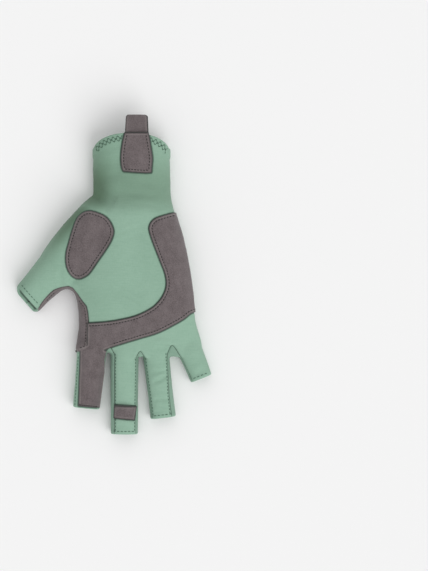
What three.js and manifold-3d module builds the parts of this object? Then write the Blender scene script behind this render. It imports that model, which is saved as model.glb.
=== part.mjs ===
// A half-finger fishing glove for the right hand, lying on its back with the palm up.
// It is sewn from a stretch-fabric palm panel and back panel, three fourchettes between the fingers and a
// suede gusset round the thumb web, with suede patches on the palm, a tab on the middle finger and a pull
// loop at the cuff. Millimetres. +Y runs from the fingers to the cuff, and +Z points up out of the palm.
import * as THREE from "three";
import { mergeVertices } from "three/addons/utils/BufferGeometryUtils.js";
import Module from "manifold-3d";

const wasm = await Module();
wasm.setup();

// Hand sizes, outside the fabric.
const palmWidth = 90.5; // across the knuckles
const palmDepth = 26; // palm to back, as the glove lies filled out
const wristWidth = 58.5;
const wristDepth = 27;
const handLength = 171; // from the finger crotches to the edge of the cuff
const cuffArch = 12.9; // how far the middle of the cuff's edge stands out past its side seams
const cuffSoftness = 0.14; // rounds the edge's turn at the side seams
const sunkBack = 2.4; // how far the round back would reach below the surface that flattens it

// Thumb sizes. Its outer edge follows a straight line that leaves the wrist at thumbAngle from the fingers.
const thumbLength = 92.8;
const thumbWidth = 25.4;
const thumbDepth = 18;
const thumbAngle = 39.5;
const thumbSkew = 0.157; // how much further its open end reaches at the web, per mm of width
const thumbOverhang = 3.7; // how far the back of its open end hangs out past the front

// Cloth and suede.
const wall = 1.2; // stretch fabric
const suede = 1.0; // patches
const hemLength = 8; // turned in and stitched at the cuff
const seamHeight = 8; // where the palm and back panels meet at the glove's sides
const seamGap = 0.3; // between two pieces that are sewn together
const seamInset = 2.6; // how far the seams lie inside the fingers' edges
const seamAllowance = 0.5; // how far the tab's ends reach into the seams that hold them
const crotchRise = 3.6; // how far a fourchette runs up past its crotch
const indexStrip = 3.6; // fabric left bare beside the suede on the index finger

// Middle-finger tab, cuff patch and pull loop.
const tabLength = 12;
const tabFromTip = 11.6;
const tabSlant = 5.5; // degrees
const cuffPatchLength = 31;
const cuffPatchWidth = 24.6;
const loopOffset = 4.6; // from the wrist's centre towards the little finger
const loopWidth = 16.4;
const loopReach = 14.2; // past the cuff's edge
const loopRoot = 6.5; // inside the cuff
const loopCorner = 2.2;
const loopSlot = 0.4; // between the folded strip's two layers
const loopFold = 2; // solid stretch at the loop's outer end, where the strip turns back

// Sections of the hand from the cuff to the crotches. along is a share of handLength, counted from the
// crotches. wrist mixes the wrist's sizes (1) with the palm's (0). left and right are shares of the mixed
// width from the palm's centre line, top a share of the mixed depth, and arch a share of cuffArch. The
// last section follows crotchLine.
const handSections = [
  { along: 1.0, wrist: 1, left: 0.549, right: 0.457, top: 1.0, arch: 1 },
  { along: 0.955, wrist: 1, left: 0.549, right: 0.457, top: 1.0, arch: 0.86 },
  { along: 0.87, wrist: 1, left: 0.549, right: 0.462, top: 1.0, arch: 0.35 },
  { along: 0.73, wrist: 1, left: 0.549, right: 0.474, top: 1.02, arch: 0 },
  { along: 0.64, wrist: 0.6, left: 0.466, right: 0.435, top: 1.06, arch: 0 },
  { along: 0.518, wrist: 0.25, left: 0.474, right: 0.446, top: 1.08, arch: 0 },
  { along: 0.4, wrist: 0, left: 0.5, right: 0.455, top: 1.05, arch: 0 },
  { along: 0.325, wrist: 0, left: 0.55, right: 0.475, top: 1.02, arch: 0 },
  { along: 0.29, wrist: 0, left: 0.521, right: 0.485, top: 1.0, arch: 0 },
  { along: 0.235, wrist: 0, left: 0.492, right: 0.497, top: 0.97, arch: 0 },
  { along: 0.14, wrist: 0, left: 0.48, right: 0.524, top: 0.88, arch: 0 },
  { along: 0.045, wrist: 0, left: 0.5, right: 0.575, top: 0.72, arch: 0 },
  { along: 0, wrist: 0, left: 0.495, right: 0.575, top: 0.64, arch: 0, crotch: true },
];

// The crotches between the fingers: where each lies across the palm, as a share of palmWidth, and how far
// above the crotch line, as a share of handLength.
const crotchLine = [
  { across: -0.221, along: 0.004 },
  { across: 0.055, along: -0.014 },
  { across: 0.317, along: 0.03 },
];

// Fingers. root is where each one's axis meets the crotch line, as a share of palmWidth from the centre
// line. length runs from the crotch line to the open end, and lean turns the axis away from the hand's, in
// degrees. The widths are at the crotch line and at the open end.
const fingers = {
  index: { root: -0.365, length: 41.5, lean: -5.6, rootWidth: 24.2, tipWidth: 21.8, depth: 15 },
  middle: { root: -0.088, length: 61.4, lean: -0.5, rootWidth: 21.6, tipWidth: 21.1, depth: 15.5 },
  ring: { root: 0.18, length: 48.3, lean: 6.6, rootWidth: 20.2, tipWidth: 19.2, depth: 15 },
  little: { root: 0.4875, length: 19.8, lean: 22, rootWidth: 18.4, tipWidth: 16.7, depth: 13.5 },
};

// Sections of a finger. along is a share of its length from the open end, and inward a share of its root
// width, measured on from the crotch line into the palm. wide multiplies the finger's width there, and top
// is a share of its depth.
const fingerSections = [
  { along: 1, inward: 0.9, wide: 0.55, top: 0.7 },
  { along: 1, inward: 0.55, wide: 0.98, top: 1.1 },
  { along: 1, inward: 0.2, wide: 1.12, top: 1.16 },
  { along: 1, inward: 0, wide: 1.06, top: 1.14 },
  { along: 0.9, inward: 0, wide: 1.02, top: 1.08 },
  { along: 0.7, inward: 0, wide: 1.0, top: 1.03 },
  { along: 0.35, inward: 0, wide: 0.99, top: 1.0 },
  { along: 0, inward: 0, wide: 1.0, top: 0.97 },
];

// Sections of the thumb. along is a share of thumbLength from the wrist. outer and inner are its edges, as
// shares of thumbWidth past and inside the straight line of its outer edge. top is a share of thumbDepth,
// and end a share of the skew and overhang of its open end.
const thumbSections = [
  { along: -0.12, outer: -0.42, inner: 0.75, top: 1.1, end: 0 },
  { along: 0, outer: -0.01, inner: 1.0, top: 1.38, end: 0 },
  { along: 0.17, outer: 0.065, inner: 1.3, top: 1.5, end: 0 },
  { along: 0.4, outer: 0.095, inner: 1.55, top: 1.47, end: 0 },
  { along: 0.57, outer: 0.055, inner: 1.46, top: 1.34, end: 0 },
  { along: 0.68, outer: 0.012, inner: 1.3, top: 1.22, end: 0 },
  { along: 0.77, outer: 0, inner: 1.12, top: 1.13, end: 0.2 },
  { along: 0.87, outer: 0, inner: 1.05, top: 1.05, end: 0.6 },
  { along: 1.0, outer: 0, inner: 1.0, top: 1.0, end: 1 },
];

const crown = 2.35; // power of the oval that a section follows: 2 is an ellipse, and more is squarer
const widestAt = 0.42; // height of a section's widest line, as a share of its top
const pointsAround = { hand: 34, thumb: 26, finger: 20 };
const openEnd = 3; // how far the hollow runs out past an open end
const sliver = 1; // mm3, the most that a seam's cut may shave off and leave behind

const up = new THREE.Vector3(0, 0, 1);
const mix = THREE.MathUtils.lerp;
const radians = THREE.MathUtils.degToRad;

// A plan direction that leans from the fingers' direction (-Y) towards +X.
const leaning = (degrees) =>
  new THREE.Vector3(Math.sin(radians(degrees)), -Math.cos(radians(degrees)), 0);

// A plan point of the palm: shares of palmWidth from the centre line and of handLength from the crotches.
const onPalm = (across, along) => new THREE.Vector3(across * palmWidth, along * handLength, 0);

function solidOf(geometry) {
  const bare = geometry.clone();
  bare.deleteAttribute("normal");
  bare.deleteAttribute("uv");
  const merged = mergeVertices(bare, 1e-4);
  return new wasm.Manifold(
    new wasm.Mesh({
      numProp: 3,
      vertProperties: merged.attributes.position.array,
      triVerts: new Uint32Array(merged.index.array),
    }),
  );
}

// A closed tube of oval sections, swollen by grow or shrunk where it is negative. A section has its centre
// in plan, the axis to the next one, its half width, its top, and how far its points shift along the axis,
// worked out from their place across, how far they are under the widest line, and the sine of their angle.
function tube(sections, count, grow) {
  const positions = [];
  const addPoint = (p) => positions.push(p.x, p.y, p.z);
  const ended = sections.map((s, k) => ({ ...s, end: (k === sections.length - 1) - (k === 0) }));
  for (const s of ended) {
    const across = new THREE.Vector3().crossVectors(up, s.axis);
    const middle = s.top * widestAt;
    for (let i = 0; i < count; i++) {
      const angle = (2 * Math.PI * i) / count;
      const cos = Math.cos(angle);
      const sin = Math.sin(angle);
      const side = Math.sign(cos) * Math.abs(cos) ** (2 / crown) * (s.half + grow);
      const reach = (sin > 0 ? s.top - middle : middle + sunkBack) + grow;
      const height = middle + Math.sign(sin) * Math.abs(sin) ** (2 / crown) * reach;
      const under = Math.max(1 - height / middle, 0);
      const shift = (s.shift ? s.shift(side, under, sin) : 0) + s.end * grow;
      addPoint(
        s.centre
          .clone()
          .addScaledVector(across, side)
          .addScaledVector(s.axis, shift)
          .setZ(height),
      );
    }
  }
  const last = sections.length - 1;
  for (const k of [0, last]) {
    const ring = positions.slice(3 * count * k, 3 * count * (k + 1));
    const sum = new THREE.Vector3();
    for (let i = 0; i < count; i++) sum.add(new THREE.Vector3().fromArray(ring, 3 * i));
    addPoint(sum.divideScalar(count));
  }
  const faces = [];
  const firstCap = sections.length * count;
  for (let i = 0; i < count; i++) {
    const next = (i + 1) % count;
    for (let k = 0; k < last; k++) {
      const a = k * count;
      const b = a + count;
      faces.push(a + i, a + next, b + next, a + i, b + next, b + i);
    }
    faces.push(firstCap, next, i);
    faces.push(firstCap + 1, last * count + i, last * count + next);
  }
  const geometry = new THREE.BufferGeometry();
  geometry.setAttribute("position", new THREE.Float32BufferAttribute(positions, 3));
  geometry.setIndex(faces);
  return solidOf(geometry);
}

// A copy of a section, carried along its axis.
function carriedOn(section, distance) {
  const centre = section.centre.clone().addScaledVector(section.axis, distance);
  return { ...section, centre };
}

// How far above the crotch line the palm ends, at a place across it.
function crotchHeight(x) {
  const at = THREE.MathUtils.clamp(x / palmWidth, crotchLine[0].across, crotchLine[2].across);
  const [a, b] = at < crotchLine[1].across ? crotchLine.slice(0, 2) : crotchLine.slice(1);
  const share = (at - a.across) / (b.across - a.across);
  return mix(a.along, b.along, THREE.MathUtils.smoothstep(share, 0, 1)) * handLength;
}

// The hand's sections, with the first one carried past the cuff's edge by extra.
function handRows(extra) {
  const rows = handSections.map((row) => {
    const width = mix(palmWidth, wristWidth, row.wrist);
    const left = -row.left * width;
    const right = row.right * width;
    return {
      centre: new THREE.Vector3((left + right) / 2, row.along * handLength, 0),
      axis: leaning(0),
      half: (right - left) / 2,
      top: row.top * mix(palmDepth, wristDepth, row.wrist),
      shift: (side, under, sine) =>
        row.arch * cuffArch * (1 - Math.hypot(sine, cuffSoftness)) -
        (row.crotch ? crotchHeight(side + (left + right) / 2) : 0),
    };
  });
  if (extra) rows.unshift(carriedOn(rows[0], -extra));
  return rows;
}

const fingerAxis = (finger) => leaning(finger.lean);

// A plan point of a finger: a share of its length from the open end, mm across, and a share of its root
// width on into the palm.
function onFinger(finger, along, side, inward = 0) {
  const axis = fingerAxis(finger);
  return new THREE.Vector3(finger.root * palmWidth, 0, 0)
    .addScaledVector(axis, (1 - along) * finger.length - inward * finger.rootWidth)
    .addScaledVector(new THREE.Vector3().crossVectors(up, axis), side);
}

const fingerHalf = (finger, row) =>
  (mix(finger.tipWidth, finger.rootWidth, row.along) * row.wide) / 2;

function fingerRows(finger, extra) {
  const rows = fingerSections.map((row) => ({
    centre: onFinger(finger, row.along, 0, row.inward),
    axis: fingerAxis(finger),
    half: fingerHalf(finger, row),
    top: row.top * finger.depth,
  }));
  if (extra) rows.push(carriedOn(rows.at(-1), extra));
  return rows;
}

const thumbAxis = leaning(-thumbAngle);
const thumbInward = new THREE.Vector3().crossVectors(up, thumbAxis);
const thumbRoot = onPalm(-0.378, 0.718);

// A plan point of the thumb: a share of its length from the wrist, and a share of its width from the line
// of its outer edge.
const onThumb = (along, across) =>
  thumbRoot
    .clone()
    .addScaledVector(thumbAxis, along * thumbLength)
    .addScaledVector(thumbInward, across * thumbWidth);

function thumbRows(extra) {
  const rows = thumbSections.map((row) => ({
    centre: onThumb(row.along, (row.inner - row.outer) / 2),
    axis: thumbAxis,
    half: ((row.inner + row.outer) * thumbWidth) / 2,
    top: row.top * thumbDepth,
    shift: (side, under) => row.end * (thumbSkew * side + thumbOverhang * Math.min(under, 1)),
  }));
  if (extra) rows.push(carriedOn(rows.at(-1), extra));
  return rows;
}

const box = (width, length, height, x, y, z) =>
  solidOf(new THREE.BoxGeometry(width, length, height).translate(x, y, z));
const reachAll = 4 * (handLength + palmWidth); // wider than the whole glove

// Everything above a height, as a block to cut with.
const above = (height) => box(reachAll, reachAll, reachAll, 0, 0, height + reachAll / 2);

// The whole hand as one closed solid, swollen by grow, with its open ends carried out by extra. The surface
// that it lies on flattens it.
function handSolid(grow, extra) {
  const tubes = [
    tube(handRows(extra), pointsAround.hand, grow),
    tube(thumbRows(extra), pointsAround.thumb, grow),
    ...Object.values(fingers).map((f) => tube(fingerRows(f, extra), pointsAround.finger, grow)),
  ];
  return wasm.Manifold.union(tubes).intersect(above(-grow));
}

// An upright block over a plan outline.
function prism(points, low, high) {
  const shape = new THREE.Shape(points.map((p) => new THREE.Vector2(p.x, p.y)));
  const geometry = new THREE.ExtrudeGeometry(shape, { depth: high - low, bevelEnabled: false });
  return solidOf(geometry.translate(0, 0, low));
}
const highest = 2 * Math.max(palmDepth, wristDepth);

// A smooth run through plan points.
const smooth = (points, samples) =>
  new THREE.SplineCurve(points.map((p) => new THREE.Vector2(p.x, p.y))).getPoints(samples);

const gussetEnd = 0.015; // share of handLength above the crotch line

// Where the gusset is sewn to the palm panel, from the thumb's open end round the web to the index finger.
const gussetPalmSeam = [
  onThumb(1.1, 1.0),
  onThumb(1.005, 0.967),
  onThumb(0.941, 0.933),
  onThumb(0.862, 0.939),
  onThumb(0.8, 0.972),
  onThumb(0.742, 1.096),
  onPalm(-0.563, 0.317),
  onPalm(-0.528, 0.308),
  onPalm(-0.486, 0.279),
  onPalm(-0.449, 0.248),
  onPalm(-0.414, 0.221),
  onPalm(-0.401, 0.189),
  onPalm(-0.395, 0.146),
  onPalm(-0.401, 0.097),
  onPalm(-0.408, gussetEnd),
];

// Where it is sewn to the back panel, the same way round.
const gussetBackSeam = [
  onThumb(1.15, 0.62),
  onThumb(0.98, 0.58),
  onThumb(0.85, 0.6),
  onThumb(0.74, 0.68),
  onPalm(-0.624, 0.406),
  onPalm(-0.585, 0.37),
  onPalm(-0.536, 0.333),
  onPalm(-0.492, 0.289),
  onPalm(-0.459, 0.246),
  onPalm(-0.448, 0.175),
  onPalm(-0.458, gussetEnd),
];

// The open air between the thumb and the index finger, which closes both outlines.
const webSpace = [
  onPalm(-0.56, gussetEnd),
  onPalm(-0.57, 0.2),
  onThumb(0.8, 1.35),
  onThumb(1.2, 1.2),
];

const gussetBlock = (palmSeam, backSeam) =>
  prism([...palmSeam, ...webSpace], seamHeight - 0.5, highest).add(
    prism([...backSeam, ...webSpace], -1, seamHeight),
  );

// A seam moved sideways by a distance, to leave the gap between two pieces.
function beside(points, distance) {
  return points.map((p, i) => {
    const before = points[Math.max(i - 1, 0)];
    const after = points[Math.min(i + 1, points.length - 1)];
    const run = new THREE.Vector3(after.x - before.x, after.y - before.y, 0).normalize();
    return new THREE.Vector3(p.x, p.y, 0).addScaledVector(
      new THREE.Vector3().crossVectors(up, run),
      distance,
    );
  });
}
const gussetSamples = 22;
const gussetSeams = (gap) => [
  beside(smooth(gussetPalmSeam, gussetSamples), gap),
  beside(smooth(gussetBackSeam, gussetSamples), gap),
];
const gusset = gussetBlock(...gussetSeams(-seamGap / 2));
const gussetRoom = gussetBlock(...gussetSeams(seamGap / 2));

const crotchSamples = 18;

// The block round a crotch that a fourchette is cut from: it runs up one finger's edge, over the crotch
// and down the next finger's edge, inset past both.
function crotchBlock(first, second, inset) {
  const rows = fingerSections.filter((row) => row.inward < 0.1).reverse();
  const edge = (finger, side) =>
    rows.map((row) => onFinger(finger, row.along, side * (fingerHalf(finger, row) - inset)));
  const past = (finger, side) =>
    onFinger(finger, -openEnd / finger.length, side * (finger.tipWidth / 2 - inset));
  const rising = edge(first, 1);
  const falling = edge(second, -1).reverse();
  const top = rising.at(-1).clone().add(falling[0]).multiplyScalar(0.5);
  top.y = crotchHeight(top.x) + crotchRise + inset - seamInset;
  const ends = [past(first, 1), past(second, -1)];
  const between = ends[0].clone().add(ends[1]).multiplyScalar(0.5);
  between.y = Math.min(ends[0].y, ends[1].y) - openEnd;
  return prism(
    [ends[0], ...smooth([...rising, top, ...falling], crotchSamples), ends[1], between],
    -1,
    highest,
  );
}
const crotches = {
  fourchette_index_middle: [fingers.index, fingers.middle],
  fourchette_middle_ring: [fingers.middle, fingers.ring],
  fourchette_ring_little: [fingers.ring, fingers.little],
};

// The sewn shell, with its hem turned in at the cuff.
const outside = handSolid(0, 0);
const hollow = handSolid(-wall, openEnd);
const cuffEdge = handRows(0)[0];
const hemRoot = 0.1; // how deep the hem's layer reaches into the wall
const hemZone = tube([cuffEdge, carriedOn(cuffEdge, hemLength)], pointsAround.hand, hemRoot - wall);
const hemHollow = tube(handRows(openEnd), pointsAround.hand, -2 * wall).intersect(above(2 * wall));
const hem = hemZone.subtract(hemHollow).intersect(above(wall - hemRoot));
const shell = outside.subtract(hollow).add(hem);

// A cut piece without the slivers that are left where two seams cross.
const trimmed = (piece) =>
  wasm.Manifold.union(piece.decompose().filter((body) => body.volume() > sliver));

const pieces = {};
const blocks = [gussetRoom];
for (const [name, [first, second]] of Object.entries(crotches)) {
  pieces[name] = trimmed(shell.intersect(crotchBlock(first, second, seamInset - seamGap / 2)));
  blocks.push(crotchBlock(first, second, seamInset + seamGap / 2));
}
const sewnRound = shell.subtract(wasm.Manifold.union(blocks));
pieces.web_gusset = trimmed(shell.intersect(gusset));
pieces.palm_panel = trimmed(sewnRound.intersect(above(seamHeight + seamGap / 2)));
pieces.back_panel = trimmed(sewnRound.subtract(above(seamHeight - seamGap / 2)));

// Suede laid on the palm: the layer between two swellings of the hand, over a plan outline.
const patchLayer = handSolid(seamGap + suede, openEnd).subtract(handSolid(seamGap, 2 * openEnd));
const patch = (points) =>
  trimmed(patchLayer.intersect(prism(points, seamHeight + seamGap + suede, highest)));

const thenarOutline = [
  onPalm(-0.464, 0.642),
  onPalm(-0.41, 0.656),
  onPalm(-0.348, 0.652),
  onPalm(-0.286, 0.633),
  onPalm(-0.213, 0.606),
  onPalm(-0.171, 0.56),
  onPalm(-0.195, 0.514),
  onPalm(-0.23, 0.479),
  onPalm(-0.329, 0.408),
  onPalm(-0.39, 0.367),
  onPalm(-0.479, 0.344),
  onPalm(-0.55, 0.365),
  onPalm(-0.583, 0.44),
  onPalm(-0.546, 0.539),
  onPalm(-0.499, 0.612),
];
pieces.thenar_patch = patch(smooth([...thenarOutline, thenarOutline[0]], 36));

// The band patch runs down the little finger's side of the palm, across under the knuckles and along the
// index finger.
const bandInnerEdge = [
  onPalm(0.42, 0.648),
  onPalm(0.351, 0.645),
  onPalm(0.253, 0.631),
  onPalm(0.169, 0.613),
  onPalm(0.127, 0.58),
  onPalm(0.139, 0.537),
  onPalm(0.208, 0.439),
  onPalm(0.26, 0.366),
  onPalm(0.27, 0.315),
  onPalm(0.245, 0.273),
  onPalm(0.2, 0.239),
  onPalm(0.141, 0.212),
  onPalm(0.027, 0.182),
  onPalm(-0.109, 0.163),
  onPalm(-0.244, 0.152),
  onPalm(-0.385, 0.146),
];
const bandOuterEdge = [
  onPalm(-0.191, 0.037),
  onPalm(-0.109, 0.051),
  onPalm(0.027, 0.073),
  onPalm(0.2, 0.101),
  onPalm(0.351, 0.141),
  onPalm(0.427, 0.165),
  onPalm(0.493, 0.191),
  onPalm(0.6, 0.2),
];
const indexEdge = (side, along, inset) =>
  onFinger(fingers.index, along, side * (fingers.index.tipWidth / 2 - inset));
const indexEnd = 0.015; // share of the finger's length that stays bare at its open end
const besideGusset = beside(gussetPalmSeam.slice(-3), 3 * seamGap);
pieces.band_patch = patch([
  ...smooth(bandInnerEdge, 34),
  ...besideGusset,
  onPalm(-0.458, gussetEnd - 0.004),
  indexEdge(-1, indexEnd, indexStrip),
  indexEdge(1, indexEnd, seamGap),
  onFinger(fingers.index, 0.7, fingers.index.rootWidth / 2 - seamGap),
  ...smooth(bandOuterEdge, 18),
  onPalm(0.6, 0.65),
]);

// The tab across the middle finger, sewn into its side seams.
const tabSide = fingers.middle.tipWidth / 2 - seamInset + seamAllowance;
const tabCentre = onFinger(fingers.middle, (tabFromTip + tabLength / 2) / fingers.middle.length, 0);
const tabCorners = [
  [-1, -1],
  [1, -1],
  [1, 1],
  [-1, 1],
].map(([x, y]) =>
  new THREE.Vector3(x * tabSide, (y * tabLength) / 2 - x * tabSide * Math.tan(radians(tabSlant)), 0)
    .add(tabCentre),
);
pieces.middle_finger_tab = patch(tabCorners);

// The cuff patch, sewn on at the edge of the cuff, over the pull loop's root. down is a share of its
// length from the cuff's edge, and left and right are shares of its width from its centre line.
const wristCentre = ((handSections[0].right - handSections[0].left) / 2) * wristWidth;
const loopX = wristCentre + loopOffset;
const cuffPatchSections = [
  { down: 0.01, left: 0.366, right: 0.369 },
  { down: 0.23, left: 0.444, right: 0.431 },
  { down: 0.47, left: 0.488, right: 0.478 },
  { down: 0.65, left: 0.5, right: 0.5 },
  { down: 0.85, left: 0.478, right: 0.478 },
  { down: 0.94, left: 0.44, right: 0.47 },
];
const onCuffPatch = (across, down) =>
  new THREE.Vector3(loopX + across * cuffPatchWidth, handLength - down * cuffPatchLength, 0);
pieces.cuff_patch = patch([
  ...cuffPatchSections.map((row) => onCuffPatch(-row.left, row.down)),
  onCuffPatch(0.28, 1),
  onCuffPatch(0.44, 0.985),
  ...cuffPatchSections.map((row) => onCuffPatch(row.right, row.down)).reverse(),
]);

// The pull loop is a strip folded double. It lies against the inside of the hem and sticks out of the cuff.
function loopOutline() {
  const shape = new THREE.Shape();
  const side = loopWidth / 2;
  const start = handLength - loopRoot;
  const cornerY = handLength + loopReach - loopCorner;
  shape.moveTo(loopX - side, start);
  shape.lineTo(loopX + side, start);
  shape.absarc(loopX + side - loopCorner, cornerY, loopCorner, 0, Math.PI / 2);
  shape.absarc(loopX - side + loopCorner, cornerY, loopCorner, Math.PI / 2, Math.PI);
  return shape.getPoints(3);
}
const wristLayer = (top, bottom) => {
  const straightOn = (grow) => tube(handRows(2 * loopReach), pointsAround.hand, grow);
  return straightOn(top).subtract(straightOn(bottom));
};
const loopTop = -2 * wall - seamGap;
const loopSlotTop = loopTop - suede;
const betweenLayers = box(
  2 * loopWidth,
  loopRoot + loopReach,
  highest,
  loopX,
  handLength + (loopReach - loopRoot) / 2 - loopFold,
  highest / 2,
);
pieces.pull_loop = wristLayer(loopTop, loopTop - 2 * suede - loopSlot)
  .intersect(prism(loopOutline(), wristDepth / 2, highest))
  .subtract(wristLayer(loopSlotTop, loopSlotTop - loopSlot).intersect(betweenLayers));

// Stretch fabric in mint green, and grey-brown suede.
const fabric = new THREE.MeshStandardMaterial({ color: 0x8fb39e, roughness: 0.85, metalness: 0 });
const suedeMaterial = new THREE.MeshStandardMaterial({ color: 0x6d6364, roughness: 0.95, metalness: 0 });
const inFabric = (name) => name.endsWith("panel") || name.startsWith("fourchette");

const glove = new THREE.Group();
for (const [name, piece] of Object.entries(pieces)) {
  const made = piece.getMesh();
  const geometry = new THREE.BufferGeometry();
  geometry.setAttribute("position", new THREE.BufferAttribute(made.vertProperties, 3));
  geometry.setIndex(new THREE.BufferAttribute(made.triVerts, 1));
  geometry.computeVertexNormals();
  const mesh = new THREE.Mesh(geometry, inFabric(name) ? fabric : suedeMaterial);
  mesh.name = name;
  glove.add(mesh);
}

// The origin is the middle of the glove's box, on the surface that it lies on.
const extent = new THREE.Box3().setFromObject(glove);
const middle = extent.getCenter(new THREE.Vector3());
glove.position.set(-middle.x, -middle.y, -extent.min.z);

export default glove;
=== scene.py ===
"""A half-finger fishing glove for the right hand, lying on its back with the palm up."""

import math
from collections import namedtuple

import bmesh
import bpy
import numpy as np
from mathutils import Matrix, Vector, noise
from mathutils.bvhtree import BVHTree
from mathutils.kdtree import KDTree


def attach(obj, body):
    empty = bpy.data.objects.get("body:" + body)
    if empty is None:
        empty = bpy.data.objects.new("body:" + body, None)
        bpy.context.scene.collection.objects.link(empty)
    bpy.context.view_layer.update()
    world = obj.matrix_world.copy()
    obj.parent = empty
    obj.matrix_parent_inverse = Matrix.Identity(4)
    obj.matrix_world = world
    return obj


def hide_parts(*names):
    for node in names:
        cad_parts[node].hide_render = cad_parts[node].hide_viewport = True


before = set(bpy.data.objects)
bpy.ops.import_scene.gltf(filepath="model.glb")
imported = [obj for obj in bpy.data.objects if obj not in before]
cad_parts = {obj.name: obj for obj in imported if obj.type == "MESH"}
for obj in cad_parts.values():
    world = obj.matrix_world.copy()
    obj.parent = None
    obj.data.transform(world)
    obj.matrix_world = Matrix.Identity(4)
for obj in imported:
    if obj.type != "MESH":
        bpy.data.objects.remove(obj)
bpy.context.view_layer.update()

# Floor, light and camera. A plain pale floor under soft studio light, seen straight from above through a long
# lens. The glove lies in the left half of the picture.

MM = 0.001
CAMERA_X, CAMERA_Y = 78.0, -8.0


def placed(name, data):
    """A new object in the scene, with a mesh, a light or a camera."""
    obj = bpy.data.objects.new(name, data)
    bpy.context.scene.collection.objects.link(obj)
    return obj


def shader(name, **values):
    """A new material with its node tree and its Principled shader. Values are named with _ for a space."""
    mat = bpy.data.materials.new(name)
    mat.use_nodes = True
    paint = mat.node_tree.nodes["Principled BSDF"]
    for key, value in values.items():
        paint.inputs[key.replace("_", " ")].default_value = value
    return mat, mat.node_tree, paint


bm = bmesh.new()
bmesh.ops.create_grid(bm, x_segments=1, y_segments=1, size=3.0)
floor_mesh = bpy.data.meshes.new("floor")
bm.to_mesh(floor_mesh)
bm.free()
floor_paint = shader("pale_floor", Base_Color=(0.9, 0.9, 0.9, 1), Roughness=0.9, Specular_IOR_Level=0.1)[0]
floor_mesh.materials.append(floor_paint)
floor = placed("floor", floor_mesh)

world = bpy.data.worlds.new("studio")
world.use_nodes = True
background = world.node_tree.nodes["Background"]
background.inputs["Color"].default_value = (1, 1, 1, 1)
background.inputs["Strength"].default_value = 0.56
bpy.context.scene.world = world


def softbox(name, azimuth, elevation, strength, spread):
    """A wide soft sun. Azimuth is where it stands, counted from +X towards +Y, in degrees."""
    light = bpy.data.lights.new(name, "SUN")
    light.energy = strength
    light.angle = math.radians(spread)
    a, e = math.radians(azimuth), math.radians(elevation)
    stands = Vector((math.cos(a) * math.cos(e), math.sin(a) * math.cos(e), math.sin(e)))
    placed(name, light).rotation_euler = stands.to_track_quat("Z", "Y").to_euler()


softbox("key_softbox", -48, 45, 1.5, 55)
softbox("fill_softbox", 115, 55, 0.42, 90)

PIXEL = 0.77 * MM  # on the glove, for each pixel of the 428 x 571 picture
PICTURE_HEIGHT = 571 * PIXEL
SENSOR = 36.0
camera_data = bpy.data.cameras.new("camera")
camera_data.sensor_fit = "VERTICAL"
camera_data.sensor_height = camera_data.sensor_width = SENSOR
camera_data.lens = 130
camera_height = PICTURE_HEIGHT * camera_data.lens / SENSOR + 0.02
camera_data.clip_end = 20
camera = placed("camera", camera_data)
camera.location = (CAMERA_X * MM, CAMERA_Y * MM, camera_height)
bpy.context.scene.camera = camera
bpy.context.scene.view_settings.view_transform = "Standard"

# The form. The glove is filled out as by a hand: one form is lofted from sections of the hand, the thumb and
# the fingers, fused, creased and flattened where it lies, and every piece of cloth is cut from it. It is in
# millimetres from the palm's centre line and the crotch line, and PLACE moves a finished piece to the model.

PLACE = Matrix.Scale(MM, 4) @ Matrix.Translation((16.73, -61.86, 0))
UP = Vector((0, 0, 1))
CROWN = 2.12  # 2 is an ellipse, and more is squarer
FINGER_CROWN = 2.35
WIDEST_AT = 0.42
SUNK_BACK = 2.4
CUFF_Y = 171.0
CUFF_ARCH = 12.9
CUFF_HALF = 29.4
CUFF_CENTRE = -2.7
CUFF_SOFTNESS = 0.14
RIM = 1.05  # radius of the turned edge at every open end
REST = 0.3  # how high the cloth lies over the floor, with its stitches under it

# Sections of the hand: y, left edge, right edge, top.
HAND = [
    (171.0, -32.1, 26.7, 27.0),
    (148.8, -32.1, 27.0, 27.0),
    (124.8, -32.1, 27.7, 27.5),
    (109.4, -33.2, 31.0, 28.2),
    (88.6, -39.1, 36.8, 28.3),
    (68.4, -45.3, 41.2, 27.3),
    (55.6, -49.8, 43.0, 26.5),
    (49.6, -47.1, 43.9, 26.0),
    (40.2, -44.5, 45.0, 25.2),
    (23.9, -43.4, 47.4, 22.9),
    (7.7, -45.2, 52.0, 18.7),
    (0.0, -44.8, 52.0, 16.6),
]
# The hand's end between the fingers: x and y.
CROTCHES = [(-20.2, 3.6), (4.6, -4.0), (28.8, 9.2), (35.0, -1.5)]

# Sections of the thumb: distance from the wrist, outer edge, inner edge, top.
THUMB_ROOT = Vector((-34.2, 122.8, 0))
THUMB_LENGTH = 92.8
THUMB_WIDTH = 25.4
THUMB = [
    (-11.1, -10.7, 19.0, 19.8),
    (0.0, -0.3, 25.4, 24.8),
    (15.8, 1.7, 33.0, 27.0),
    (37.1, 2.4, 39.4, 26.5),
    (52.9, 1.4, 37.1, 24.1),
    (63.1, 0.3, 33.0, 22.0),
    (71.5, 0.0, 28.4, 20.3),
    (80.7, 0.0, 26.7, 18.9),
    (92.8, 0.0, 25.4, 18.0),
]
THUMB_SKEW = 0.157
THUMB_OVERHANG = 4.6  # how far the back reaches past the palm side at the open end
THUMB_FRONT = 91.8

# Fingers: x of the root, length, lean in degrees, width at the root and at the open end, depth.
Finger = namedtuple("Finger", "root length lean root_width tip_width depth")
FINGERS = {
    "index": Finger(-33.9, 41.5, -5.6, 22.6, 20.3, 15.0),
    "middle": Finger(-8.0, 61.4, -0.5, 21.6, 21.1, 15.5),
    "ring": Finger(16.3, 49.0, 6.6, 20.2, 19.2, 15.0),
    "little": Finger(44.1, 19.8, 22.0, 18.4, 16.7, 13.5),
}
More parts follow.
